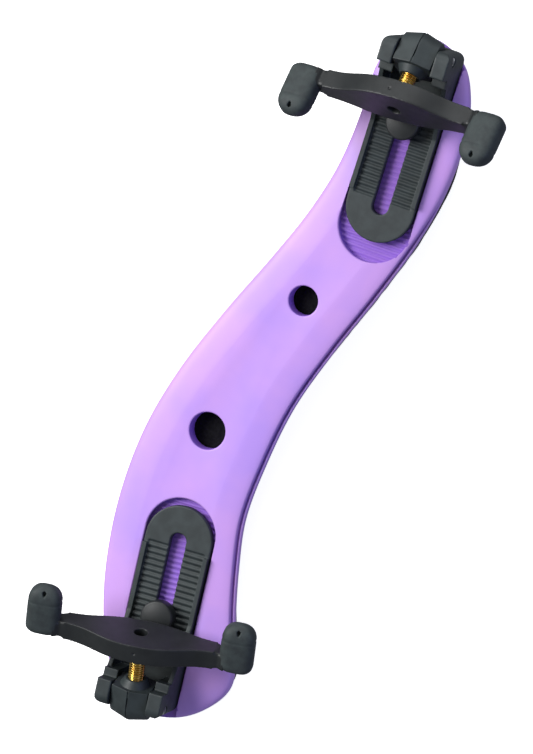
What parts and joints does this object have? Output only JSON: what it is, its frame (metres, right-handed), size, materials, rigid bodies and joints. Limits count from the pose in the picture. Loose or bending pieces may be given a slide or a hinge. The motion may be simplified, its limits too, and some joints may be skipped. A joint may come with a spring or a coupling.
{
  "type": "violin shoulder rest",
  "caption": "Collapsible violin shoulder rest: S-shaped moulded base on foam, with sliding plates and folding, height-adjustable forks with rubber feet.",
  "frame": {"origin": "middle of the object's box, at the foam's underside", "axes": "+X along the base towards the narrow chest end, +Y towards the bulging side of the shoulder end, +Z towards the instrument"},
  "size_m": [0.2326, 0.1068, 0.0463],
  "materials": {
    "base_plastic": "satin lilac moulded plastic",
    "foam": "black closed-cell foam",
    "dark_plastic": "fine-grained charcoal moulded plastic",
    "foot_rubber": "matte charcoal rubber",
    "brass": "bright machined brass",
    "steel": "plain steel"
  },
  "bodies": {
    "root": {"base_body": "base_plastic", "foam_pad": "foam", "chest_captive_nut": "steel", "shoulder_captive_nut": "steel"},
    "chest_clamp": {"chest_clamp_knob": "dark_plastic", "chest_clamp_stud": "steel"},
    "chest_carriage": {"chest_plate": "dark_plastic", "chest_hinge_pin_a": "steel", "chest_hinge_pin_b": "steel"},
    "chest_pivot": {"chest_pivot_block": "dark_plastic"},
    "chest_screw": {"chest_height_screw": "brass"},
    "chest_fork": {"chest_fork_arm": "dark_plastic", "chest_foot_a": "foot_rubber", "chest_foot_b": "foot_rubber"},
    "shoulder_clamp": {"shoulder_clamp_knob": "dark_plastic", "shoulder_clamp_stud": "steel"},
    "shoulder_carriage": {"shoulder_plate": "dark_plastic", "shoulder_hinge_pin_a": "steel", "shoulder_hinge_pin_b": "steel"},
    "shoulder_pivot": {"shoulder_pivot_block": "dark_plastic"},
    "shoulder_screw": {"shoulder_height_screw": "brass"},
    "shoulder_fork": {"shoulder_fork_arm": "dark_plastic", "shoulder_foot_a": "foot_rubber", "shoulder_foot_b": "foot_rubber"}
  },
  "joints": [
    {"name": "chest_clamp_turn", "type": "hinge", "parent": "root", "child": "chest_clamp", "pos_m": [0.08746, -0.01737, 0.0153], "axis": [0, 0, 1], "continuous": true},
    {"name": "chest_width_slide", "type": "slide", "parent": "root", "child": "chest_carriage", "axis": [0.9992, -0.0401, 0], "range_m": [-0.006, 0.026]},
    {"name": "chest_fold", "type": "hinge", "parent": "chest_carriage", "child": "chest_pivot", "pos_m": [0.11034, -0.01829, 0.0238], "axis": [0.0401, 0.9992, 0], "range_deg": [0, 62]},
    {"name": "chest_height", "type": "slide", "parent": "chest_pivot", "child": "chest_screw", "axis": [-0.8822, 0.0354, 0.4695], "range_m": [-0.003, 0.004]},
    {"name": "chest_swivel", "type": "hinge", "parent": "chest_screw", "child": "chest_fork", "pos_m": [0.09728, -0.01776, 0.03075], "axis": [-0.8822, 0.0354, 0.4695], "range_deg": [-25.9, 6.1]},
    {"name": "shoulder_clamp_turn", "type": "hinge", "parent": "root", "child": "shoulder_clamp", "pos_m": [-0.08359, 0.01773, 0.0153], "axis": [0, 0, 1], "continuous": true},
    {"name": "shoulder_width_slide", "type": "slide", "parent": "root", "child": "shoulder_carriage", "axis": [-0.9994, -0.0349, 0], "range_m": [-0.002, 0.024]},
    {"name": "shoulder_fold", "type": "hinge", "parent": "shoulder_carriage", "child": "shoulder_pivot", "pos_m": [-0.11038, 0.01679, 0.0238], "axis": [0.0349, -0.9994, 0], "range_deg": [0, 71.4]},
    {"name": "shoulder_height", "type": "slide", "parent": "shoulder_pivot", "child": "shoulder_screw", "axis": [0.9472, 0.0331, 0.319], "range_m": [-0.003, 0.004]},
    {"name": "shoulder_swivel", "type": "hinge", "parent": "shoulder_screw", "child": "shoulder_fork", "pos_m": [-0.09219, 0.01743, 0.02992], "axis": [0.9472, 0.0331, 0.319], "range_deg": [-25.8, 6.2]}
  ]
}
